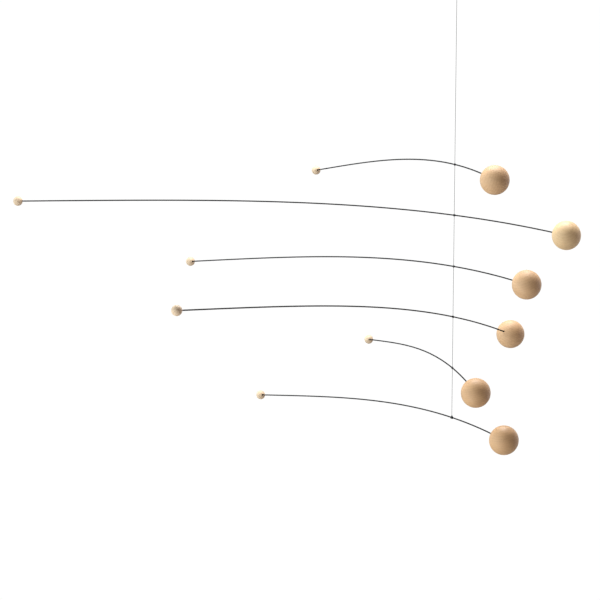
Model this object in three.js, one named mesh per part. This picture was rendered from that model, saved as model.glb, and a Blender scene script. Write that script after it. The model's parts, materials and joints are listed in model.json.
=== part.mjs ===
// A hanging mobile of six balanced arms, one below another on a single upright thread.
// Each arm is a bent steel wire with a large turned wooden ball at its short end and a small
// wooden bead at its long end. A knot ties the thread round the wire at the balance point,
// so every arm hangs level and turns freely about the thread. The thread hangs from a turned
// wooden button whose flat top is fixed to a ceiling.
//
// Millimetres, +Z up. The origin is the centre of the button's flat top face, and the thread
// runs straight down the Z axis. Each arm is drawn in its own upright plane, with its tie at
// the plane's origin and its ball towards +X, and is then tilted and turned into place.
import * as THREE from "three";

// Ball and bead, with the blind holes that the wire is glued into
const ballRadius = 17.5;
const ballHoleDepth = 12;
const beadRadius = 6;
const beadHoleDepth = 4.8;

// The wires, all six alike
const steelRadius = 0.7;
const coatThickness = 0.1; // black coat on the steel
const wireSpan = 724; // along the wire, from the bead's centre to the ball's
const shortSide = 142.5; // of that, from the tie to the ball's centre
const turnDegrees = 13.1; // how far the wire bends down, from bead to ball
const turnExponent = 2.5; // the wire has turned by this power of the share of its length
const beadSlopeDegrees = 1.1; // how steeply the wire climbs at its bead end

// Thread, knots and ceiling button
const threadRadius = 0.25;
const knotWall = 0.35;
const endKnotWall = 0.6; // the last knot also hides the thread's end
const knotLength = 2.8;
const buttonRadius = 12;
const buttonEdge = 2.5;
const buttonHoleDepth = 4;
const buttonRoof = 4; // wood left above the thread's hole

// How the arms hang
const topDrop = 225; // from the ceiling to the first tie
const tieSpacing = 61.3;
// From the top one down:
//   azimuth: degrees that the ball end is swung from +X to the front
//   tilt: degrees that the ball end is raised
//   slide: how far the tie sits off its even place, along the wire towards the ball
//   sag: how far the tie sits below its even height
const arms = [
  { azimuth: 73.4, tilt: 0.15, slide: -2, sag: 0 },
  { azimuth: 20.1, tilt: -0.45, slide: -0.5, sag: 0.1 },
  { azimuth: 54.9, tilt: 0.6, slide: 0, sag: 0.8 },
  { azimuth: -56.9, tilt: 0.25, slide: -0.5, sag: 0.5 },
  { azimuth: 81.1, tilt: -1.25, slide: 1, sag: 1.2 },
  { azimuth: 66, tilt: 0.45, slide: 3.5, sag: -0.1 },
];

// Clearance between touching pieces
const gap = 0.3;

// Fineness of the round forms
const ballSides = 24;
const beadSides = 14;
const wireSides = 8;
const wireSteps = 32;
const threadSides = 8;
const knotSides = 12;
const buttonSides = 32;
const bendSamples = 96;

const wood = new THREE.MeshStandardMaterial({ color: 0xcba479, roughness: 0.55, metalness: 0 });
const beadWood = new THREE.MeshStandardMaterial({ color: 0xdcbe9c, roughness: 0.55, metalness: 0 });
const buttonWood = new THREE.MeshStandardMaterial({ color: 0xcba479, roughness: 0.6, metalness: 0 });
const coated = new THREE.MeshStandardMaterial({ color: 0x19191a, roughness: 0.55, metalness: 0 });
const threadCord = new THREE.MeshStandardMaterial({ color: 0x2b2b2d, roughness: 0.55, metalness: 0 });
const knotCord = new THREE.MeshStandardMaterial({ color: 0x222223, roughness: 0.6, metalness: 0 });

const radians = THREE.MathUtils.degToRad;
const wireRadius = steelRadius + coatThickness;
const wireHoleRadius = wireRadius + gap;
const buttonHeight = buttonRoof + buttonHoleDepth;

// The wire's slope, in radians, at a length s from the bead's centre
function slopeAt(s) {
  return radians(beadSlopeDegrees) - radians(turnDegrees) * Math.pow(s / wireSpan, turnExponent);
}

// The way along the wire from its tie to a length s, as a sum of short straight steps
function fromTie(tie, s) {
  const step = (s - tie) / bendSamples;
  const point = new THREE.Vector3();
  for (let i = 0; i < bendSamples; i++) {
    const slope = slopeAt(tie + (i + 0.5) * step);
    point.x += Math.cos(slope) * step;
    point.z += Math.sin(slope) * step;
  }
  return point;
}

// The wire's centreline between two lengths, with the tie at the origin
class WireLine extends THREE.Curve {
  constructor(tie, start, end) {
    super();
    this.tie = tie;
    this.start = start;
    this.end = end;
  }

  getPoint(t) {
    return fromTie(this.tie, THREE.MathUtils.lerp(this.start, this.end, t));
  }
}

// A regular polygon with the area of a circle, so that a many-sided rod keeps its weight
function roundSection(radius, sides) {
  const corner = radius * Math.sqrt(((2 * Math.PI) / sides) / Math.sin((2 * Math.PI) / sides));
  const shape = new THREE.Shape();
  for (let i = 0; i < sides; i++) {
    const angle = (2 * Math.PI * i) / sides;
    const [x, y] = [corner * Math.cos(angle), corner * Math.sin(angle)];
    if (i === 0) shape.moveTo(x, y);
    else shape.lineTo(x, y);
  }
  shape.closePath();
  return shape;
}

function rodAlong(curve, radius, sides, steps) {
  return new THREE.ExtrudeGeometry(roundSection(radius, sides), { steps, extrudePath: curve });
}

// A ball turned about its hole: the lathe's axis is +Y, and the hole opens at the top
function drilledBall(radius, holeDepth, sides) {
  const mouth = Math.asin(wireHoleRadius / radius);
  const mouthHeight = radius * Math.cos(mouth);
  const rings = sides / 2;
  const profile = [new THREE.Vector2(0, -radius)];
  for (let i = 1; i <= rings; i++) {
    const fromBottom = ((Math.PI - mouth) * i) / rings;
    profile.push(new THREE.Vector2(radius * Math.sin(fromBottom), -radius * Math.cos(fromBottom)));
  }
  profile[rings].set(wireHoleRadius, mouthHeight);
  profile.push(new THREE.Vector2(wireHoleRadius, radius - holeDepth));
  profile.push(new THREE.Vector2(0, radius - holeDepth));
  return new THREE.LatheGeometry(profile, sides);
}

// A knot: a short rounded barrel round the wire, turned about +Y
function knotBarrel(radius) {
  const shoulder = (wireHoleRadius + radius) / 2;
  const half = knotLength / 2;
  const profile = [
    new THREE.Vector2(wireHoleRadius, -half),
    new THREE.Vector2(shoulder, -half),
    new THREE.Vector2(radius, -half / 2),
    new THREE.Vector2(radius, half / 2),
    new THREE.Vector2(shoulder, half),
    new THREE.Vector2(wireHoleRadius, half),
    new THREE.Vector2(wireHoleRadius, -half),
  ];
  return new THREE.LatheGeometry(profile, knotSides);
}

// The ceiling button, turned about +Y with its flat top at height 0 and a blind hole below
function buttonBody() {
  const holeRadius = threadRadius + gap;
  const profile = [
    new THREE.Vector2(0, -buttonRoof),
    new THREE.Vector2(holeRadius, -buttonRoof),
    new THREE.Vector2(holeRadius, -buttonHeight),
  ];
  const edgeSteps = 5;
  for (let i = 0; i <= edgeSteps; i++) {
    const angle = (Math.PI / 2) * (i / edgeSteps);
    profile.push(new THREE.Vector2(
      buttonRadius - buttonEdge + buttonEdge * Math.sin(angle),
      -buttonHeight + buttonEdge - buttonEdge * Math.cos(angle),
    ));
  }
  profile.push(new THREE.Vector2(buttonRadius, 0));
  profile.push(new THREE.Vector2(0, 0));
  return new THREE.LatheGeometry(profile, buttonSides);
}

function named(name, geometry, material) {
  const mesh = new THREE.Mesh(geometry, material);
  mesh.name = name;
  return mesh;
}

// Turns a lathe's +Y axis to the wire's slope, facing the ball's end (1) or the bead's (-1)
function layAlong(mesh, slope, facing) {
  mesh.quaternion.setFromUnitVectors(
    new THREE.Vector3(0, 1, 0),
    new THREE.Vector3(facing * Math.cos(slope), 0, facing * Math.sin(slope)),
  );
}

// One arm in its own plane: wire, ball, bead and knot, tied at a length from the bead's centre
function makeArm(number, tie, tieKnotRadius) {
  const plane = new THREE.Group();
  const wireStart = beadRadius - beadHoleDepth + gap;
  const wireEnd = wireSpan - (ballRadius - ballHoleDepth) - gap;
  const line = new WireLine(tie, wireStart, wireEnd);
  plane.add(named(`wire_${number}`, rodAlong(line, wireRadius, wireSides, wireSteps), coated));

  const ball = named(`ball_${number}`, drilledBall(ballRadius, ballHoleDepth, ballSides), wood);
  ball.position.copy(fromTie(tie, wireSpan));
  layAlong(ball, slopeAt(wireSpan), -1);
  plane.add(ball);

  const bead = named(`bead_${number}`, drilledBall(beadRadius, beadHoleDepth, beadSides), beadWood);
  bead.position.copy(fromTie(tie, 0));
  layAlong(bead, slopeAt(0), 1);
  plane.add(bead);

  const knot = named(`knot_${number}`, knotBarrel(tieKnotRadius), knotCord);
  layAlong(knot, slopeAt(tie), 1);
  plane.add(knot);
  return plane;
}

// A straight upright stretch of thread between two heights
function threadBetween(name, top, bottom) {
  const line = new THREE.LineCurve3(new THREE.Vector3(0, 0, bottom), new THREE.Vector3(0, 0, top));
  return named(name, rodAlong(line, threadRadius, threadSides, 1), threadCord);
}

const mobile = new THREE.Group();

const button = named("ceiling_button", buttonBody(), buttonWood);
button.rotation.x = Math.PI / 2;
mobile.add(button);

let threadTop = -buttonRoof - gap;
arms.forEach(({ azimuth, tilt, slide, sag }, i) => {
  const number = i + 1;
  const tieHeight = -topDrop - i * tieSpacing - sag;
  const tieKnotWall = number === arms.length ? endKnotWall : knotWall;
  const tieKnotRadius = wireHoleRadius + tieKnotWall;

  const turned = new THREE.Group();
  turned.position.z = tieHeight;
  turned.rotation.z = -radians(azimuth);
  const plane = makeArm(number, wireSpan - shortSide + slide, tieKnotRadius);
  plane.rotation.y = -radians(tilt);
  turned.add(plane);
  mobile.add(turned);

  const knotReach = tieKnotRadius + gap;
  mobile.add(threadBetween(`thread_${number}`, threadTop, tieHeight + knotReach));
  threadTop = tieHeight - knotReach;
});

export default mobile;
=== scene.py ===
"""A hanging mobile of turned wooden balls on bent black wires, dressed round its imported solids.

Every arm is one wire with a large ball at its short end, a small bead at its long end and a wound
knot where the thread takes hold of it. Sizes are in metres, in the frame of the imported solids:
+Z is up, the thread runs down the Z axis, and the ceiling button's flat top is at the origin.
"""

import json
import logging
import math
from dataclasses import dataclass, field, replace
from enum import Enum
from functools import reduce
from typing import Any

import bmesh
import bpy
from mathutils import Matrix, Vector


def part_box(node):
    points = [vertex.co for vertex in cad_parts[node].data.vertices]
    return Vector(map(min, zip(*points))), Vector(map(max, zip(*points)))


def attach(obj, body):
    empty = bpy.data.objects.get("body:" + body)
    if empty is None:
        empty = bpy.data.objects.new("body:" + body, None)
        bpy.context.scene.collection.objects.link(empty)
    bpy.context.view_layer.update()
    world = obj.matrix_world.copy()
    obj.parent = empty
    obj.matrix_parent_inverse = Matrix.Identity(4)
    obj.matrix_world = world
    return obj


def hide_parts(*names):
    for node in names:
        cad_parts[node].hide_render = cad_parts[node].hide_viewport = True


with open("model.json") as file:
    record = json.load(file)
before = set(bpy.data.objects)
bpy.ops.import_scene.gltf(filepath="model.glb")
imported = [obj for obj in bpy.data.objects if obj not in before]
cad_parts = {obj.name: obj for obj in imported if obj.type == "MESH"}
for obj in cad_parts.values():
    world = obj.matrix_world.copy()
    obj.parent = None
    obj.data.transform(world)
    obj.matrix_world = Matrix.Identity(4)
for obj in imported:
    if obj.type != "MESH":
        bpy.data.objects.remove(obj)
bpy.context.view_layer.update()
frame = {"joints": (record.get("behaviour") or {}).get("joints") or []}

LOG = logging.getLogger("mobile")
MM = 0.001
SPACE = "maker_space"

Value = float | tuple[float, ...] | bpy.types.NodeSocket
Colour = tuple[float, float, float]
Profile = list[tuple[float, float]]
WHITE: Colour = (1.0, 1.0, 1.0)
COOL: Colour = (0.92, 1.0, 1.04)
WARM: Colour = (1.0, 0.25, 0.1)


class Slot(Enum):
    """The record's material slots that the pieces take their finish from."""

    BALL = "ball_wood"
    BEAD = "bead_wood"
    BUTTON = "button_wood"
    WIRE = "wire_steel"
    THREAD = "thread_nylon"
    KNOT = "knot_cord"


class ToneShare(Enum):
    """Shares, for red, green and blue, that a round's wood colours are multiplied by; PLAIN leaves them as
    they are.
    """

    PLAIN = (1.0, 1.0, 1.0)
    PALE = (1.16, 1.3, 1.34)
    DEEP = (0.92, 0.89, 0.84)

    @classmethod
    def of_ball(cls, number: int) -> "ToneShare":
        """The share for an arm's ball; the second ball's colours are made paler than the others' and the
        lowest two deeper.
        """
        # The second ball is given paler wood colours and the two lowest balls deeper ones, ball by ball.
        return {2: cls.PALE, 5: cls.DEEP, 6: cls.DEEP}.get(number, cls.PLAIN)


class KnotKind(Enum):
    """The two ways that the thread is made fast to a wire."""

    PASSING = "the thread runs on below"
    LAST = "the thread ends here"


# Drawing in nodes


class NodeSketch:
    """Adds nodes to one tree and joins them; an input is a plain value or another socket."""

    def __init__(self, tree: bpy.types.NodeTree) -> None:
        """Keeps the tree that the nodes go into."""
        self.tree = tree

    def feed(self, socket: bpy.types.NodeSocket, value: Value) -> None:
        """Gives an input its value.

        Args:
            socket: The input.
            value: A socket to link to it, or a plain value to write on it.
        """
        if isinstance(value, bpy.types.NodeSocket):
            self.tree.links.new(value, socket)
        else:
            socket.default_value = value

    def node(self, kind: str, inputs: dict[Any, Value] | None = None, **settings: Any) -> bpy.types.Node:
        """Makes one node.

        Args:
            kind: The node's type name.
            inputs: What goes into its sockets, by their name or number.
            **settings: The node's own properties.

        Returns:
            The new node.
        """
        made = self.tree.nodes.new(kind)
        for name, setting in settings.items():
            setattr(made, name, setting)
        for name, value in (inputs or {}).items():
            self.feed(made.inputs[name], value)
        return made

    def maker_space(self) -> bpy.types.NodeSocket:
        """The place of each point in the space of the sketch that made its mesh."""
        return self.node("ShaderNodeAttribute", attribute_name=SPACE).outputs["Vector"]

    def math(self, operation: str, *values: Value) -> bpy.types.NodeSocket:
        """The result of one math node on up to three values."""
        return self.node("ShaderNodeMath", dict(enumerate(values)), operation=operation).outputs[0]

    def share_sum(self, *parts: tuple[Value, float]) -> bpy.types.NodeSocket:
        """The sum of several values, each multiplied by its own share."""
        terms = [self.math("MULTIPLY", value, share) for value, share in parts]
        return reduce(lambda total, term: self.math("ADD", total, term), terms)

    def stretch(self, space: Value, scales: tuple[float, float, float]) -> bpy.types.NodeSocket:
        """A space with each of its axes multiplied by its own number."""
        inputs = {0: space, 1: scales}
        return self.node("ShaderNodeVectorMath", inputs, operation="MULTIPLY").outputs[0]

    def noise(self, space: Value, scale: Value, detail: float = 2.0) -> bpy.types.NodeSocket:
        """Soft noise between 0 and 1, with its grains 1/scale metres apart."""
        inputs = {"Vector": space, "Scale": scale, "Detail": detail}
        return self.node("ShaderNodeTexNoise", inputs).outputs[0]

    def between(self, value: Value, low: Value, high: Value) -> bpy.types.NodeSocket:
        """0 up to low, 1 from high, and a smooth step between them."""
        inputs = {"Value": value, "From Min": low, "From Max": high}
        return self.node("ShaderNodeMapRange", inputs, interpolation_type="SMOOTHSTEP").outputs[0]

    def blend(self, share: Value, first: Value, second: Value) -> bpy.types.NodeSocket:
        """A colour that goes from the first to the second as share goes from 0 to 1."""
        inputs = {0: share, 6: first, 7: second}
        return self.node("ShaderNodeMix", inputs, data_type="RGBA").outputs[2]

    def raise_relief(self, shader: bpy.types.Node, height: Value, strength: float, depth: float) -> None:
        """Bumps a shader's surface.

        Args:
            shader: The Principled shader.
            height: The relief, from 0 to 1.
            strength: How strongly it shows.
            depth: How deep it is.
        """
        bump = self.node("ShaderNodeBump", {"Height": height, "Strength": strength, "Distance": depth})
        self.feed(shader.inputs["Normal"], bump.outputs[0])


class EffectGroup:
    """A shader node group with named sockets, built once and placed in several materials."""

    title = "effect"
    inputs: tuple[tuple[str, str], ...] = ()
    outputs: tuple[tuple[str, str], ...] = ()

    def __init__(self) -> None:
        """Makes the group with its sockets and draws its inside."""
        self.tree = bpy.data.node_groups.new(self.title, "ShaderNodeTree")
        for in_out, sockets in (("INPUT", self.inputs), ("OUTPUT", self.outputs)):
            for name, kind in sockets:
                self.tree.interface.new_socket(name=name, in_out=in_out, socket_type=f"NodeSocket{kind}")
        sketch = NodeSketch(self.tree)
        given = sketch.node("NodeGroupInput").outputs
        sketch.node("NodeGroupOutput", self.draw(sketch, given))

    def draw(self, sketch: NodeSketch, given: Any) -> dict[Any, Value]:
        """Draws the group's inside.

        Args:
            sketch: The sketch of the group's tree.
            given: The group's input sockets, by name.

        Returns:
            The value of each output, by name.
        """
        raise NotImplementedError

    def place(self, sketch: NodeSketch, inputs: dict[Any, Value]) -> Any:
        """Puts the group into a material and returns its output sockets."""
        return sketch.node("ShaderNodeGroup", inputs, node_tree=self.tree).outputs


class WoodGrain(EffectGroup):
    """Year rings, fibres along Z and the short dark flecks of a pale hardwood."""

    title = "wood grain"
    inputs = (
        ("Space", "Vector"), ("Ring Spacing", "Float"),
        ("Light", "Color"), ("Dark", "Color"), ("Fleck", "Color"),
    )
    outputs = (("Color", "Color"), ("Roughness", "Float"), ("Height", "Float"))
    pith_distance = 70 * MM
    ring_drift = 7 * MM
    drift_scale, drift_stretch = 28.0, (1, 1, 0.4)
    cloud_scale, cloud_stretch = 75.0, (1, 1, 0.3)
    fibre_scale, fibre_stretch = 1900.0, (1, 1, 0.05)
    fleck_scale, fleck_stretch = 3000.0, (0.5, 1, 0.14)
    late_growth, year_end = (0.25, 0.9), (0.9, 1.0)
    cloud_edges, fibre_edges, fleck_edges = (0.35, 0.72), (0.3, 0.75), (0.64, 0.75)
    late_tone, cloud_tone, fibre_tone = 0.28, 0.35, 0.25
    fleck_tone = 0.5
    smoothest, fibre_roughness = 0.46, 0.2
    late_height, fibre_height, fleck_depth = 0.5, 0.7, 0.5

    def rings(self, sketch: NodeSketch, space: Value, spacing: Value) -> bpy.types.NodeSocket:
        """Draws year rings about a far pith.

        Args:
            sketch: The sketch of the group's tree.
            space: The wood's own space.
            spacing: The width of a year.

        Returns:
            The share of late wood, which grows over each year and ends with it.
        """
        parts = sketch.node("ShaderNodeSeparateXYZ", {0: space}).outputs
        across = sketch.math("POWER", sketch.math("ADD", parts[0], self.pith_distance), 2.0)
        across = sketch.math("SQRT", sketch.math("ADD", across, sketch.math("POWER", parts[1], 2.0)))
        stray = sketch.noise(sketch.stretch(space, self.drift_stretch), self.drift_scale)
        across = sketch.math("ADD", across, sketch.math("MULTIPLY", stray, self.ring_drift))
        year = sketch.math("FRACT", sketch.math("DIVIDE", across, spacing))
        grown, ended = sketch.between(year, *self.late_growth), sketch.between(year, *self.year_end)
        return sketch.math("SUBTRACT", grown, ended)

    def draw(self, sketch: NodeSketch, given: Any) -> dict[Any, Value]:
        """Draws rings, then clouds, fibres and flecks over them.

        Args:
            sketch: The sketch of the group's tree.
            given: The group's input sockets, by name.

        Returns:
            The wood's colour, roughness and height.
        """
        space = given["Space"]
        late = self.rings(sketch, space, given["Ring Spacing"])
        fibre = sketch.noise(sketch.stretch(space, self.fibre_stretch), self.fibre_scale, detail=3.0)
        cloud = sketch.noise(sketch.stretch(space, self.cloud_stretch), self.cloud_scale)
        dash = sketch.noise(sketch.stretch(space, self.fleck_stretch), self.fleck_scale, detail=0.0)
        fleck = sketch.between(dash, *self.fleck_edges)

        tone = sketch.share_sum(
            (late, self.late_tone),
            (sketch.between(cloud, *self.cloud_edges), self.cloud_tone),
            (sketch.between(fibre, *self.fibre_edges), self.fibre_tone),
        )
        colour = sketch.blend(tone, given["Light"], given["Dark"])
        colour = sketch.blend(sketch.math("MULTIPLY", fleck, self.fleck_tone), colour, given["Fleck"])
        rough = sketch.math("ADD", self.smoothest, sketch.math("MULTIPLY", fibre, self.fibre_roughness))
        height = sketch.share_sum(
            (fibre, self.fibre_height),
            (late, self.late_height),
            (fleck, -self.fleck_depth),
        )
        return {"Color": colour, "Roughness": rough, "Height": height}


class HandledSurface(EffectGroup):
    """Smudges from handling, and fine scratches that run mostly along Z."""

    title = "handled surface"
    inputs = (("Space", "Vector"), ("Smudge Scale", "Float"), ("Scratch Scale", "Float"))
    outputs = (("Smudge", "Float"), ("Scratch", "Float"))
    smudge_edges, scratch_edges = (0.42, 0.68), (0.62, 0.72)
    scratch_stretch = (1.0, 1.0, 0.03)

    def draw(self, sketch: NodeSketch, given: Any) -> dict[Any, Value]:
        """Draws broad smudges and thin stretched scratches.

        Args:
            sketch: The sketch of the group's tree.
            given: The group's input sockets, by name.

        Returns:
            The masks of the smudges and the scratches.
        """
        smudge = sketch.noise(given["Space"], given["Smudge Scale"], detail=4.0)
        long_way = sketch.stretch(given["Space"], self.scratch_stretch)
        scratch = sketch.noise(long_way, given["Scratch Scale"], detail=1.0)
        return {
            "Smudge": sketch.between(smudge, *self.smudge_edges),
            "Scratch": sketch.between(scratch, *self.scratch_edges),
        }


class TwistedFibre(EffectGroup):
    """Strands laid round a cord whose length runs along Z."""

    title = "twisted fibre"
    inputs = (
        ("Space", "Vector"), ("Strands", "Float"), ("Turns Per Metre", "Float"),
        ("Light", "Color"), ("Dark", "Color"),
    )
    outputs = (("Color", "Color"), ("Roughness", "Float"), ("Height", "Float"))
    fuzz_scale = 6000.0
    ridge_share, fuzz_share = 0.7, 0.3
    roughest, ridge_sheen = 0.62, 0.2

    def draw(self, sketch: NodeSketch, given: Any) -> dict[Any, Value]:
        """Draws the ridges of the strands and the fuzz between them.

        Args:
            sketch: The sketch of the group's tree.
            given: The group's input sockets, by name.

        Returns:
            The cord's colour, roughness and height.
        """
        parts = sketch.node("ShaderNodeSeparateXYZ", {0: given["Space"]}).outputs
        angle = sketch.math("MULTIPLY", sketch.math("ARCTAN2", parts[1], parts[0]), given["Strands"])
        turns = sketch.math("MULTIPLY", parts[2], given["Turns Per Metre"])
        wave = sketch.math("SINE", sketch.math("ADD", angle, sketch.math("MULTIPLY", turns, math.tau)))
        ridge = sketch.math("ADD", 0.5, sketch.math("MULTIPLY", wave, 0.5))
        fuzz = sketch.noise(given["Space"], self.fuzz_scale, detail=3.0)
        share = sketch.share_sum((ridge, self.ridge_share), (fuzz, self.fuzz_share))
        colour = sketch.blend(share, given["Dark"], given["Light"])
        rough = sketch.math("SUBTRACT", self.roughest, sketch.math("MULTIPLY", ridge, self.ridge_sheen))
        return {"Color": colour, "Roughness": rough, "Height": share}


@dataclass
class Effects:
    """The shared node groups, each built once."""

    grain: WoodGrain = field(default_factory=WoodGrain)
    handled: HandledSurface = field(default_factory=HandledSurface)
    fibre: TwistedFibre = field(default_factory=TwistedFibre)


def opaque(colour: Colour) -> tuple[float, float, float, float]:
    """The colour with full alpha."""
    return (*colour, 1.0)


def new_material(name: str) -> tuple[bpy.types.Material, NodeSketch, bpy.types.Node]:
    """Makes an empty node material.

    Args:
        name: The material's name.

    Returns:
        The material, a sketch of its tree and its Principled shader, joined to the output.
    """
    material = bpy.data.materials.new(name)
    material.use_nodes = True
    material.node_tree.nodes.clear()
    sketch = NodeSketch(material.node_tree)
    shader = sketch.node("ShaderNodeBsdfPrincipled")
    sketch.node("ShaderNodeOutputMaterial", {"Surface": shader.outputs[0]})
    return material, sketch, shader


@dataclass(frozen=True)
class WoodFinish:
    """Turned and oiled pale hardwood."""

    name: str
    light: Colour = (0.65, 0.408, 0.212)
    dark: Colour = (0.52, 0.306, 0.15)
    fleck: Colour = (0.34, 0.175, 0.08)
    ring_spacing: float = 2.6 * MM
    smudge_scale: float = 110.0
    scratch_scale: float = 1500.0
    smudge_roughness: float = 0.1
    coat: float = 0.2
    coat_roughness: float = 0.55
    relief: float = 0.03 * MM
    relief_strength: float = 0.5

    def with_tone_share(self, board: ToneShare) -> "WoodFinish":
        """Gives the same finish with its wood colours multiplied by a tone share.

        Args:
            board: The tone share, which multiplies the wood's colours.

        Returns:
            The finish with those colours.
        """
        tones = {
            part: tuple(channel * share for channel, share in zip(getattr(self, part), board.value))
            for part in ("light", "dark", "fleck")
        }
        return replace(self, name=f"{self.name}, {board.name.lower()} board", **tones)

    def material(self, effects: Effects) -> bpy.types.Material:
        """Builds the wood from its grain and the smudges of handling.

        Args:
            effects: The shared node groups.

        Returns:
            The material.
        """
        material, sketch, shader = new_material(self.name)
        space = sketch.maker_space()
        grain = effects.grain.place(sketch, {
            "Space": space,
            "Ring Spacing": self.ring_spacing,
            "Light": opaque(self.light),
            "Dark": opaque(self.dark),
            "Fleck": opaque(self.fleck),
        })
        scales = {"Smudge Scale": self.smudge_scale, "Scratch Scale": self.scratch_scale}
        handled = effects.handled.place(sketch, {"Space": space, **scales})
        smudged = sketch.math("MULTIPLY", handled["Smudge"], self.smudge_roughness)
        sketch.feed(shader.inputs["Base Color"], grain["Color"])
        sketch.feed(shader.inputs["Roughness"], sketch.math("ADD", grain["Roughness"], smudged))
        sketch.raise_relief(shader, grain["Height"], self.relief_strength, self.relief)
        shader.inputs["Coat Weight"].default_value = self.coat
        shader.inputs["Coat Roughness"].default_value = self.coat_roughness
        return material


@dataclass(frozen=True)
class BlackSteelFinish:
    """Steel wire under a thin black coat, with light rubbing and drawing lines showing through."""

    name: str = "black coated steel wire"
    black: Colour = (0.006, 0.006, 0.0065)
    rubbed: Colour = (0.022, 0.022, 0.023)
    smudge_scale: float = 160.0
    scratch_scale: float = 4200.0
    smudge_rub: float = 0.45
    scratch_rub: float = 0.5
    roughness: float = 0.5
    smudge_roughness: float = 0.14
    specular: float = 0.12
    relief: float = 0.01 * MM
    relief_strength: float = 0.4

    def material(self, effects: Effects) -> bpy.types.Material:
        """Builds the coat, rubbed paler where it was handled and drawn.

        Args:
            effects: The shared node groups.

        Returns:
            The material.
        """
        material, sketch, shader = new_material(self.name)
        space = sketch.maker_space()
        scales = {"Smudge Scale": self.smudge_scale, "Scratch Scale": self.scratch_scale}
        handled = effects.handled.place(sketch, {"Space": space, **scales})
        rubbing = sketch.share_sum(
            (handled["Smudge"], self.smudge_rub),
            (handled["Scratch"], self.scratch_rub),
        )
        colour = sketch.blend(rubbing, opaque(self.black), opaque(self.rubbed))
        sketch.feed(shader.inputs["Base Color"], colour)
        smudged = sketch.math("MULTIPLY", handled["Smudge"], self.smudge_roughness)
        sketch.feed(shader.inputs["Roughness"], sketch.math("ADD", self.roughness, smudged))
        sketch.raise_relief(shader, handled["Scratch"], self.relief_strength, self.relief)
        shader.inputs["Specular IOR Level"].default_value = self.specular
        return material


@dataclass(frozen=True)
class CordFinish:
    """Twisted dark cord: the thread, or the turns that its knots are wound with."""

    name: str
    light: Colour
    dark: Colour
    strands: float = 3.0
    turns_per_metre: float = 700.0
    relief: float = 0.03 * MM
    relief_strength: float = 0.6
    on_curve: bool = False

    def material(self, effects: Effects) -> bpy.types.Material:
        """Builds the cord; a curve is read by its own place, as it lies along the Z axis.

        Args:
            effects: The shared node groups.

        Returns:
            The material.
        """
        material, sketch, shader = new_material(self.name)
        if self.on_curve:
            space = sketch.node("ShaderNodeTexCoord").outputs["Object"]
        else:
            space = sketch.maker_space()
        fibre = effects.fibre.place(sketch, {
            "Space": space,
            "Strands": self.strands,
            "Turns Per Metre": self.turns_per_metre,
            "Light": opaque(self.light),
            "Dark": opaque(self.dark),
        })
        sketch.feed(shader.inputs["Base Color"], fibre["Color"])
        sketch.feed(shader.inputs["Roughness"], fibre["Roughness"])
        sketch.raise_relief(shader, fibre["Height"], self.relief_strength, self.relief)
        return material


class Finishes:
    """Every finish of the mobile by its slot, with each material made once."""

    def __init__(self) -> None:
        """Builds the shared groups and chooses the finishes."""
        self.effects = Effects()
        self.finishes: dict[Slot, WoodFinish | BlackSteelFinish | CordFinish] = {
            Slot.BALL: WoodFinish("turned ball wood"),
            Slot.BEAD: WoodFinish("turned bead wood", light=(0.72, 0.545, 0.365), dark=(0.65, 0.482, 0.314),
                                  fleck=(0.57, 0.414, 0.26), ring_spacing=1.9 * MM, relief=0.01 * MM),
            Slot.BUTTON: WoodFinish("turned button wood", ring_spacing=2.2 * MM),
            Slot.WIRE: BlackSteelFinish(),
            Slot.THREAD: CordFinish("dark thread", (0.035, 0.035, 0.037), (0.008, 0.008, 0.008),
                                    on_curve=True),
            Slot.KNOT: CordFinish("dark binding cord", (0.03, 0.03, 0.031), (0.004, 0.004, 0.004),
                                  turns_per_metre=1100.0, relief=0.06 * MM),
        }
        self.made: dict[tuple[Slot, ToneShare], bpy.types.Material] = {}

    def dress(self, piece: bpy.types.Object, slot: Slot, board: ToneShare = ToneShare.PLAIN) -> None:
        """Gives a piece its slot's material.

        Args:
            piece: The piece.
            slot: Its material slot.
            board: The tone share that a wooden piece's colours are multiplied by.
        """
        if (slot, board) not in self.made:
            finish = self.finishes[slot]
            if isinstance(finish, WoodFinish):
                finish = finish.with_tone_share(board)
            self.made[slot, board] = finish.material(self.effects)
        piece.data.materials.append(self.made[slot, board])


# Drawing in mesh


def add_object(name: str, data: bpy.types.ID) -> bpy.types.Object:
    """Adds an object to the scene.

    Args:
        name: The object's name.
        data: Its mesh, curve, lamp or camera.

    Returns:
        The new object.
    """
    added = bpy.data.objects.new(name, data)
    bpy.context.scene.collection.objects.link(added)
    return added


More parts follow.
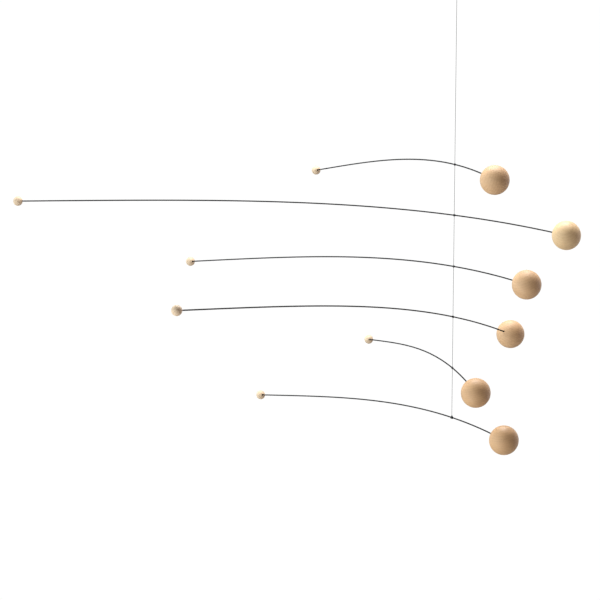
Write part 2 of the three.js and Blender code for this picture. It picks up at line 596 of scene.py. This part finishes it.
class MeshSketch:
    """Collects the rings and faces of one mesh, each point with its place in the maker's space."""

    sharp_angle = math.radians(38)

    def __init__(self) -> None:
        """Starts with no points."""
        self.points: list[Vector] = []
        self.marks: list[Vector] = []
        self.faces: list[tuple[int, ...]] = []

    def ring(self, points: list[Vector], marks: list[Vector]) -> list[int]:
        """Adds points with their marks.

        Args:
            points: The points, in order round the ring.
            marks: The place of each in the maker's space.

        Returns:
            The points' numbers.
        """
        first = len(self.points)
        self.points.extend(points)
        self.marks.extend(marks)
        return list(range(first, len(self.points)))

    def skin(self, lower: list[int], upper: list[int]) -> None:
        """Joins two closed rings; a ring of one point closes the skin to a tip.

        Args:
            lower: The point numbers of the first ring.
            upper: Those of the second.
        """
        count = max(len(lower), len(upper))
        for i in range(count):
            j = (i + 1) % count
            if len(lower) == 1:
                self.faces.append((lower[0], upper[j], upper[i]))
            elif len(upper) == 1:
                self.faces.append((lower[i], lower[j], upper[0]))
            else:
                self.faces.append((lower[i], lower[j], upper[j], upper[i]))

    def lathe(self, profile: Profile, sides: int, place: Matrix, shift: Vector) -> None:
        """Turns a profile about the local Z axis.

        Args:
            profile: Radius and height of each point, from one end on the axis to the other.
            sides: How many points go round.
            place: Where the turned body's own frame lies.
            shift: Where the body was cut from its blank, so that no two show the same grain.
        """
        last: list[int] = []
        for radius, height in profile:
            angles = [math.tau * i / sides for i in range(sides if radius > 0 else 1)]
            turned = [Vector((radius * math.cos(a), radius * math.sin(a), height)) for a in angles]
            ring = self.ring([place @ p for p in turned], [p + shift for p in turned])
            if last:
                self.skin(last, ring)
            last = ring

    def sweep(self, path: list[Vector], radii: list[float], sides: int, place: Matrix) -> None:
        """Draws a rod along a path, with tips at both ends.

        Args:
            path: The centreline's points.
            radii: The rod's radius at each point.
            sides: How many points go round.
            place: Where the path's own frame lies.
        """
        way = (path[1] - path[0]).normalized()
        side = way.orthogonal().normalized()
        run = 0.0
        last = self.ring([place @ path[0]], [Vector((0.0, 0.0, run))])
        for i, (point, radius) in enumerate(zip(path, radii)):
            ahead = (path[min(i + 1, len(path) - 1)] - path[max(i - 1, 0)]).normalized()
            side = way.rotation_difference(ahead) @ side
            way = ahead
            over = way.cross(side)
            run += (point - path[max(i - 1, 0)]).length
            angles = [math.tau * k / sides for k in range(sides)]
            ring = self.ring(
                [place @ (point + (side * math.cos(a) + over * math.sin(a)) * radius) for a in angles],
                [Vector((radius * math.cos(a), radius * math.sin(a), run)) for a in angles],
            )
            self.skin(last, ring)
            last = ring
        self.skin(last, self.ring([place @ path[-1]], [Vector((0.0, 0.0, run))]))

    def finish(self, name: str) -> bpy.types.Object:
        """Makes the object, smooth but for its sharp edges.

        Args:
            name: The object's name.

        Returns:
            The new object.
        """
        mesh = bpy.data.meshes.new(name)
        mesh.from_pydata([p[:] for p in self.points], [], self.faces)
        marks = mesh.attributes.new(SPACE, "FLOAT_VECTOR", "POINT")
        marks.data.foreach_set("vector", [number for mark in self.marks for number in mark])
        draft = bmesh.new()
        draft.from_mesh(mesh)
        bmesh.ops.recalc_face_normals(draft, faces=draft.faces)
        for face in draft.faces:
            face.smooth = True
        for edge in draft.edges:
            edge.smooth = edge.calc_face_angle(0.0) < self.sharp_angle
        draft.to_mesh(mesh)
        draft.free()
        return add_object(name, mesh)


# How an arm is shaped and hangs


@dataclass(frozen=True)
class BendLaw:
    """The curve that a wire is bent to, from the bead's centre to the ball's, and where it is tied."""

    tie: float
    span: float = 724 * MM
    turn: float = math.radians(13.1)
    power: float = 2.5
    bead_slope: float = math.radians(1.1)
    samples: int = 96

    @classmethod
    def tied_at(cls, distance: float) -> "BendLaw":
        """The curve, tied where the bead's centre is at a straight distance from the tie."""
        slack = distance - cls(tie=distance).reach(0.0).length
        return cls(tie=distance + slack)

    def slope(self, length: float) -> float:
        """The wire's slope at a length from the bead's centre."""
        return self.bead_slope - self.turn * (length / self.span) ** self.power

    def reach(self, length: float) -> Vector:
        """The way from the tie to a point of the wire, in the arm's own plane.

        Args:
            length: The point's length along the wire, from the bead's centre.

        Returns:
            The point, with the tie at the origin and the ball towards +X.
        """
        step = (length - self.tie) / self.samples
        slopes = [self.slope(self.tie + (i + 0.5) * step) for i in range(self.samples)]
        return Vector((sum(map(math.cos, slopes)) * step, 0.0, sum(map(math.sin, slopes)) * step))


def middle_of(node: str) -> Vector:
    """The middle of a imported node's box."""
    low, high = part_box(node)
    return (Vector(low) + Vector(high)) / 2


@dataclass(frozen=True)
class Stance:
    """How one arm hangs: its tie, the way its ball end points and how far that end is raised."""

    number: int
    law: BendLaw
    tie_height: float
    azimuth: float
    tilt: float

    @classmethod
    def of_arm(cls, number: int) -> "Stance":
        """Reads an arm's stance from its joint and its packed ball and bead.

        Args:
            number: The arm's number, from the top.

        Returns:
            The arm's stance.
        """
        joint = next(j for j in frame["joints"] if j["name"] == f"arm_{number}_turn")
        tie, bead = Vector(joint["pos_m"]), middle_of(f"bead_{number}")
        law = BendLaw.tied_at((bead - tie).length)
        chord = middle_of(f"ball_{number}") - bead
        level = law.reach(law.span) - law.reach(0.0)
        slope = math.atan2(chord.z, math.hypot(chord.x, chord.y))
        return cls(
            number=number,
            law=law,
            tie_height=tie.z,
            azimuth=math.atan2(chord.y, chord.x),
            tilt=slope - math.atan2(level.z, level.x),
        )

    @property
    def body(self) -> str:
        """The body that the arm's pieces ride on."""
        return f"arm_{self.number}"

    @property
    def place(self) -> Matrix:
        """Takes the arm's own plane to where it hangs."""
        lift = Matrix.Translation((0.0, 0.0, self.tie_height))
        return lift @ Matrix.Rotation(self.azimuth, 4, "Z") @ Matrix.Rotation(-self.tilt, 4, "Y")


def facing(point: Vector, slope: float, way: float) -> Matrix:
    """Puts a turned piece on the wire, its axis along the wire.

    Args:
        point: Its centre, in the arm's plane.
        slope: The wire's slope there.
        way: 1 to face the ball's end, -1 to face the bead's.

    Returns:
        The matrix from the piece's own frame to the arm's plane.
    """
    axis = Vector((way * math.cos(slope), 0.0, way * math.sin(slope)))
    return Matrix.Translation(point) @ axis.to_track_quat("Z", "Y").to_matrix().to_4x4()


# The pieces


@dataclass(frozen=True)
class TurnedRound:
    """A wooden ball or bead, turned on a lathe and drilled for the wire."""

    radius: float
    hole_depth: float
    hole_radius: float = 0.92 * MM
    mouth_bevel: float = 0.25 * MM
    cut: tuple[float, float, float] = (43 * MM, 31 * MM, 290 * MM)
    sides: int = 96
    rings: int = 56

    def profile(self) -> Profile:
        """Draws the outline from the far pole, over the round, to the drilled hole's pointed end.

        Returns:
            The radius and height of each point.
        """
        lip = self.hole_radius + self.mouth_bevel
        mouth = math.asin(lip / self.radius)
        outline = [(0.0, -self.radius)]
        for i in range(1, self.rings + 1):
            angle = (math.pi - mouth) * i / self.rings
            outline.append((self.radius * math.sin(angle), -self.radius * math.cos(angle)))
        lip_height = self.radius * math.cos(mouth)
        floor_height = self.radius - self.hole_depth
        return outline + [
            (self.hole_radius, lip_height - self.mouth_bevel),
            (self.hole_radius, floor_height),
            (0.0, floor_height - self.hole_radius / 2),
        ]

    def build(self, name: str, place: Matrix, number: int) -> bpy.types.Object:
        """Turns the piece.

        Args:
            name: The object's name.
            place: Where its own frame lies.
            number: Which arm it is for, which picks the place in the board that it is cut from.

        Returns:
            The new object.
        """
        sketch = MeshSketch()
        thickness, width, length = self.cut
        shift = Vector((thickness * number, width * number * number, length * number))
        sketch.lathe(self.profile(), self.sides, place, shift)
        return sketch.finish(name)


@dataclass(frozen=True)
class BentWire:
    """The coated steel wire of an arm, with its cut ends eased."""

    law: BendLaw
    radius: float = 0.8 * MM
    end_ease: float = 0.15 * MM
    sides: int = 16
    steps: int = 180

    def build(self, name: str, place: Matrix, start: float, end: float) -> bpy.types.Object:
        """Draws the wire.

        Args:
            name: The object's name.
            place: Where the arm's plane lies.
            start: Its bead end, as a length from the bead's centre.
            end: Its ball end, likewise.

        Returns:
            The new object.
        """
        body = end - start - 2 * self.end_ease
        inner = [start + self.end_ease + body * i / self.steps for i in range(self.steps + 1)]
        path = [self.law.reach(length) for length in (start, *inner, end)]
        radii = [self.radius - self.end_ease, *[self.radius] * len(inner), self.radius - self.end_ease]
        sketch = MeshSketch()
        sketch.sweep(path, radii, self.sides, place)
        return sketch.finish(name)


@dataclass(frozen=True)
class WoundKnot:
    """A few turns of dark cord round the wire, and a tight overhand knot where the thread leaves."""

    wire_radius: float
    cord_radius: float
    turns: int = 5
    points_per_turn: int = 28
    pitch: float = 2.05
    overhand_size: float = 0.1 * MM
    overhand_points: int = 60
    sides: int = 10

    @classmethod
    def of_kind(cls, kind: KnotKind, wire_radius: float) -> "WoundKnot":
        """Chooses a knot: the last one is wound with thicker cord.

        Args:
            kind: How the thread is made fast.
            wire_radius: The radius of the wire that it is wound on.

        Returns:
            The knot.
        """
        if kind is KnotKind.LAST:
            return cls(wire_radius, cord_radius=0.42 * MM, turns=4, overhand_size=0.2 * MM)
        return cls(wire_radius, cord_radius=0.24 * MM)

    def coil(self) -> list[Vector]:
        """Winds the turns round the wire, side by side along X, their pitch in radii of the cord.

        Returns:
            The cord's centreline.
        """
        reach = self.wire_radius + self.cord_radius
        path = []
        for i in range(self.turns * self.points_per_turn + 1):
            turn = i / self.points_per_turn
            along = (turn - self.turns / 2) * self.pitch * self.cord_radius
            angle = math.tau * turn
            path.append(Vector((along, reach * math.sin(angle), reach * math.cos(angle))))
        return path

    def overhand(self, side: float) -> list[Vector]:
        """Ties the small knot where the thread leaves the wire, as a closed three-lobed line.

        Args:
            side: 1 for the knot above the wire, -1 for the one below.

        Returns:
            The cord's centreline.
        """
        height = side * (self.wire_radius + 2 * self.cord_radius + self.overhand_size)
        path = []
        for i in range(self.overhand_points + 1):
            a = math.tau * i / self.overhand_points
            path.append(Vector((
                self.overhand_size * (math.sin(a) + 2 * math.sin(2 * a)),
                self.overhand_size * (math.cos(a) - 2 * math.cos(2 * a)),
                height - self.overhand_size * math.sin(3 * a),
            )))
        return path

    def build(self, name: str, place: Matrix, kind: KnotKind) -> bpy.types.Object:
        """Winds the knot.

        Args:
            name: The object's name.
            place: Where the wire's frame at the tie lies, X along the wire.
            kind: Whether the thread runs on below.

        Returns:
            The new object.
        """
        sketch = MeshSketch()
        paths = [self.coil(), self.overhand(1.0)]
        if kind is KnotKind.PASSING:
            paths.append(self.overhand(-1.0))
        for path in paths:
            sketch.sweep(path, [self.cord_radius] * len(path), self.sides, place)
        return sketch.finish(name)


@dataclass(frozen=True)
class ThreadRun:
    """One straight, taut stretch of the thread, on the Z axis."""

    top: float
    bottom: float
    diameter: float = 0.5 * MM
    bevel_steps: int = 3
    points: int = 15

    def build(self, name: str) -> bpy.types.Object:
        """Draws the stretch as a round curve from its top to its bottom.

        Args:
            name: The object's name.

        Returns:
            The new object.
        """
        curve = bpy.data.curves.new(name, "CURVE")
        curve.dimensions = "3D"
        curve.bevel_depth = self.diameter / 2
        curve.bevel_resolution = self.bevel_steps
        curve.use_fill_caps = True
        spline = curve.splines.new("POLY")
        spline.points.add(self.points - 1)
        for i, point in enumerate(spline.points):
            height = self.top + (self.bottom - self.top) * i / (self.points - 1)
            point.co = (0.0, 0.0, height, 1.0)
        return add_object(name, curve)


@dataclass(frozen=True)
class CeilingButton:
    """The turned button at the thread's top, its flat face against the ceiling."""

    radius: float = 12 * MM
    height: float = 8 * MM
    round_edge: float = 2.5 * MM
    top_bevel: float = 0.35 * MM
    hole_radius: float = 0.42 * MM
    hole_depth: float = 4 * MM
    hole_bevel: float = 0.3 * MM
    cut: tuple[float, float, float] = (11 * MM, 170 * MM, 50 * MM)
    sides: int = 96
    edge_steps: int = 10
    face_steps: int = 6

    def profile(self) -> Profile:
        """Draws the outline from the hole's floor, over the round edge, to the middle of the flat top.

        Returns:
            The radius and height of each point.
        """
        bottom = -self.height
        lip = self.hole_radius + self.hole_bevel
        face = self.radius - self.round_edge
        outline = [
            (0.0, bottom + self.hole_depth),
            (self.hole_radius, bottom + self.hole_depth),
            (self.hole_radius, bottom + self.hole_bevel),
        ]
        outline.extend((lip + (face - lip) * i / self.face_steps, bottom) for i in range(self.face_steps))
        for i in range(self.edge_steps + 1):
            angle = math.pi / 2 * i / self.edge_steps
            outline.append((
                face + self.round_edge * math.sin(angle),
                bottom + self.round_edge * (1 - math.cos(angle)),
            ))
        return outline + [(self.radius, -self.top_bevel), (self.radius - self.top_bevel, 0.0), (0.0, 0.0)]

    def build(self, name: str) -> bpy.types.Object:
        """Turns the button; its grain runs across it, as in a disc cut from a board's face.

        Args:
            name: The object's name.

        Returns:
            The new object.
        """
        sketch = MeshSketch()
        sketch.lathe(self.profile(), self.sides, Matrix.Identity(4), Vector(self.cut))
        across = Matrix.Rotation(math.radians(90), 3, "X")
        sketch.marks = [across @ mark for mark in sketch.marks]
        return sketch.finish(name)


@dataclass(frozen=True)
class Arm:
    """One arm of the mobile: wire, ball, bead, knot and the thread that hangs below it."""

    stance: Stance
    kind: KnotKind
    ball_tone_share: ToneShare
    ball: TurnedRound = TurnedRound(radius=17.5 * MM, hole_depth=12 * MM)
    bead: TurnedRound = TurnedRound(radius=6 * MM, hole_depth=4.8 * MM, sides=64, rings=36)
    end_gap: float = 0.3 * MM

    def build(self, finishes: Finishes) -> list[bpy.types.Object]:
        """Makes and dresses the arm's pieces.

        Args:
            finishes: The mobile's materials.

        Returns:
            The new pieces.
        """
        number, place, law = self.stance.number, self.stance.place, self.stance.law
        wire = BentWire(law)
        start = self.bead.radius - self.bead.hole_depth + self.end_gap
        end = law.span - self.ball.radius + self.ball.hole_depth - self.end_gap
        at_ball = facing(law.reach(law.span), law.slope(law.span), -1.0)
        at_bead = facing(law.reach(0.0), law.slope(0.0), 1.0)
        at_tie = Matrix.Rotation(-law.slope(law.tie), 4, "Y")
        knot = WoundKnot.of_kind(self.kind, wire.radius)
        turned_ball = self.ball.build(f"turned_ball_{number}", place @ at_ball, number)
        turned_bead = self.bead.build(f"turned_bead_{number}", place @ at_bead, number)
        bent_wire = wire.build(f"bent_wire_{number}", place, start, end)
        wound_knot = knot.build(f"wound_knot_{number}", place @ at_tie, self.kind)
        made = {
            f"wire_{number}": (bent_wire, Slot.WIRE, ToneShare.PLAIN),
            f"ball_{number}": (turned_ball, Slot.BALL, self.ball_tone_share),
            f"bead_{number}": (turned_bead, Slot.BEAD, ToneShare.PLAIN),
            f"knot_{number}": (wound_knot, Slot.KNOT, ToneShare.PLAIN),
        }
        for node, (piece, slot, board) in made.items():
            finishes.dress(piece, slot, board)
            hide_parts(node)
            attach(piece, self.stance.body)
        return [piece for piece, *_ in made.values()]


@dataclass(frozen=True)
class Thread:
    """The thread, as one stretch from the button to the first wire and one between each two wires."""

    ties: tuple[float, ...]
    button_floor: float = -4.3 * MM
    grip: float = 1.0 * MM

    def build(self, finishes: Finishes) -> list[bpy.types.Object]:
        """Makes the stretches, each riding with what it hangs from.

        Args:
            finishes: The mobile's materials.

        Returns:
            The new pieces.
        """
        made = []
        top, body = self.button_floor, "hanger"
        for number, tie in enumerate(self.ties, start=1):
            run = ThreadRun(top, tie + self.grip)
            piece = run.build(f"thread_run_{number}")
            finishes.dress(piece, Slot.THREAD)
            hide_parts(f"thread_{number}")
            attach(piece, body)
            made.append(piece)
            top, body = tie - self.grip, f"arm_{number}"
        return made


# The studio


@dataclass(frozen=True)
class PhotoCamera:
    """The photograph's camera, worked out from how the arms foreshorten."""

    frame_px: float = 600.0
    focal_px: float = 3400.0
    metres_per_px: float = 1.211 * MM
    thread_column: float = 453.2
    horizon_row: float = 280.0
    third_tie_row: float = 264.6
    roll: float = math.radians(0.676)
    sensor_mm: float = 36.0
    clip: tuple[float, float] = (0.1, 30.0)

    def build(self, third_tie: float) -> bpy.types.Object:
        """Places the camera level with the horizon row, rolled as the photograph is.

        Args:
            third_tie: The height of the third tie from the top.

        Returns:
            The camera.
        """
        middle = self.frame_px / 2
        lens = bpy.data.cameras.new("photo camera")
        lens.sensor_width = self.sensor_mm
        lens.lens = self.focal_px / self.frame_px * self.sensor_mm
        lens.clip_start, lens.clip_end = self.clip
        camera = add_object("photo camera", lens)
        place = Matrix.Translation((
            -(self.thread_column - middle) * self.metres_per_px,
            -self.focal_px * self.metres_per_px,
            third_tie + (self.third_tie_row - self.horizon_row) * self.metres_per_px,
        ))
        pitch = math.atan((middle - self.horizon_row) / self.focal_px)
        aim = Matrix.Rotation(math.pi / 2 - pitch, 4, "X") @ Matrix.Rotation(self.roll, 4, "Z")
        camera.matrix_world = place @ aim
        bpy.context.scene.camera = camera
        return camera


@dataclass(frozen=True)
class SoftLight:
    """One large soft lamp that is turned to a point of the mobile."""

    name: str
    place: tuple[float, float, float]
    size: float
    watts: float

    def build(self, target: Vector) -> bpy.types.Object:
        """Hangs the lamp.

        Args:
            target: The point that it is turned to.

        Returns:
            The lamp.
        """
        data = bpy.data.lights.new(self.name, "AREA")
        data.shape = "DISK"
        data.size = self.size
        data.energy = self.watts
        lamp = add_object(self.name, data)
        lamp.location = self.place
        lamp.rotation_euler = (target - Vector(self.place)).to_track_quat("-Z", "Y").to_euler()
        return lamp


@dataclass(frozen=True)
class SkyGlow:
    """One soft bright patch of the sky, brightest towards its middle."""

    towards: tuple[float, float, float]
    strength: float
    tint: Colour = WHITE
    edge: float = 0.0
    core: float = 0.9

    def draw(self, sketch: NodeSketch, way: bpy.types.NodeSocket) -> bpy.types.NodeSocket:
        """Draws the glow's light.

        Args:
            sketch: The sketch of the sky's tree.
            way: The direction that is looked in.

        Returns:
            The light; it starts at edge and is full from core, as cosines from the middle.
        """
        inputs = {0: way, 1: Vector(self.towards).normalized()}
        facing_it = sketch.node("ShaderNodeVectorMath", inputs, operation="DOT_PRODUCT").outputs["Value"]
        share = sketch.between(facing_it, self.edge, self.core)
        light = {"Color": opaque(self.tint), "Strength": sketch.math("MULTIPLY", share, self.strength)}
        return sketch.node("ShaderNodeBackground", light).outputs[0]


@dataclass(frozen=True)
class Studio:
    """A white studio: a pale floor, a sky with soft glows, and soft lamps."""

    floor_height: float = -1.7
    floor_radius: float = 3.4
    floor_sides: int = 128
    floor_colour: Colour = (0.93, 0.93, 0.92)
    floor_shade: float = 0.97
    floor_cloud_scale: float = 6.0
    floor_roughness: float = 0.8
    floor_bounce: Colour = (0.45, 0.45, 0.445)
    floor_rim_glow_from: float = 0.5
    floor_rim_glow: float = 0.5
    backdrop_level: float = 1.02
    glows: tuple[SkyGlow, ...] = (
        SkyGlow((-1.0, 0.0, 0.0), 1.55, COOL, edge=0.2),
        SkyGlow((-0.7, -0.7, -0.2), 0.95, COOL, edge=0.5),
        SkyGlow((0.8, 0.6, 0.1), 1.4, edge=0.6, core=0.95),
        SkyGlow((1.0, -0.6, -0.2), 0.1, WARM),
    )
    lamps: tuple[SoftLight, ...] = (
        SoftLight("top lamp", (0.0, 0.3, 1.2), 1.2, 52.0),
        SoftLight("low lamp", (-0.8, -0.7, -1.5), 0.8, 9.0),
    )

    def floor(self) -> bpy.types.Object:
        """Makes the floor, a wide disc that throws little light back up, with a painted glow that camera
        rays see growing to white at its rim.

        Returns:
            The floor.
        """
        sketch = MeshSketch()
        place = Matrix.Translation((0.0, 0.0, self.floor_height))
        sketch.lathe([(0.0, 0.0), (self.floor_radius, 0.0)], self.floor_sides, place, Vector())
        floor = sketch.finish("studio_floor")
        material, nodes, shader = new_material("pale floor")
        space = nodes.maker_space()
        shade = tuple(channel * self.floor_shade for channel in self.floor_colour)
        cloud = nodes.noise(space, self.floor_cloud_scale)
        colour = nodes.blend(cloud, opaque(self.floor_colour), opaque(shade))
        seen = nodes.node("ShaderNodeLightPath").outputs["Is Camera Ray"]
        nodes.feed(shader.inputs["Base Color"], nodes.blend(seen, opaque(self.floor_bounce), colour))
        # Painted light: camera rays see the floor emit white, growing from its middle to its rim.
        away = nodes.node("ShaderNodeVectorMath", {0: space}, operation="LENGTH").outputs["Value"]
        rim_glow = nodes.math("MULTIPLY", nodes.between(away, self.floor_rim_glow_from, self.floor_radius), seen)
        nodes.feed(shader.inputs["Emission Strength"], nodes.math("MULTIPLY", rim_glow, self.floor_rim_glow))
        shader.inputs["Emission Color"].default_value = opaque(WHITE)
        shader.inputs["Roughness"].default_value = self.floor_roughness
        floor.data.materials.append(material)
        return floor

    def sky(self) -> None:
        """Lights the object by the glows, and shows the camera plain white."""
        world = bpy.data.worlds.new("white studio")
        bpy.context.scene.world = world
        world.use_nodes = True
        world.node_tree.nodes.clear()
        sketch = NodeSketch(world.node_tree)
        way = sketch.node("ShaderNodeTexCoord").outputs["Generated"]
        lit = self.glows[0].draw(sketch, way)
        for glow in self.glows[1:]:
            lit = sketch.node("ShaderNodeAddShader", {0: lit, 1: glow.draw(sketch, way)}).outputs[0]
        plain = {"Color": opaque(WHITE), "Strength": self.backdrop_level}
        shown = sketch.node("ShaderNodeBackground", plain)
        seen = sketch.node("ShaderNodeLightPath").outputs["Is Camera Ray"]
        mixed = sketch.node("ShaderNodeMixShader", {0: seen, 1: lit, 2: shown.outputs[0]})
        sketch.node("ShaderNodeOutputWorld", {"Surface": mixed.outputs[0]})

    def build(self, target: Vector) -> None:
        """Sets up the whole studio.

        Args:
            target: The point that the lamps are turned to.
        """
        self.sky()
        self.floor()
        for lamp in self.lamps:
            lamp.build(target)
        bpy.context.scene.view_settings.view_transform = "Standard"


def main() -> None:
    """Builds the camera, the thread, the arms, the button and the studio."""
    logging.basicConfig(level=logging.INFO, format="%(name)s: %(message)s")
    stances = [Stance.of_arm(number) for number in range(1, len(frame["joints"]) + 1)]
    ties = tuple(stance.tie_height for stance in stances)
    third_tie = ties[2]
    PhotoCamera().build(third_tie)
    finishes = Finishes()
    pieces = Thread(ties).build(finishes)
    for stance in stances:
        kind = KnotKind.LAST if stance is stances[-1] else KnotKind.PASSING
        pieces.extend(Arm(stance, kind, ToneShare.of_ball(stance.number)).build(finishes))
    button = CeilingButton().build("turned_ceiling_button")
    finishes.dress(button, Slot.BUTTON)
    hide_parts("ceiling_button")
    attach(button, "hanger")
    pieces.append(button)
    Studio().build(Vector((0.0, 0.0, third_tie)))


if __name__ == "__main__":
    main()
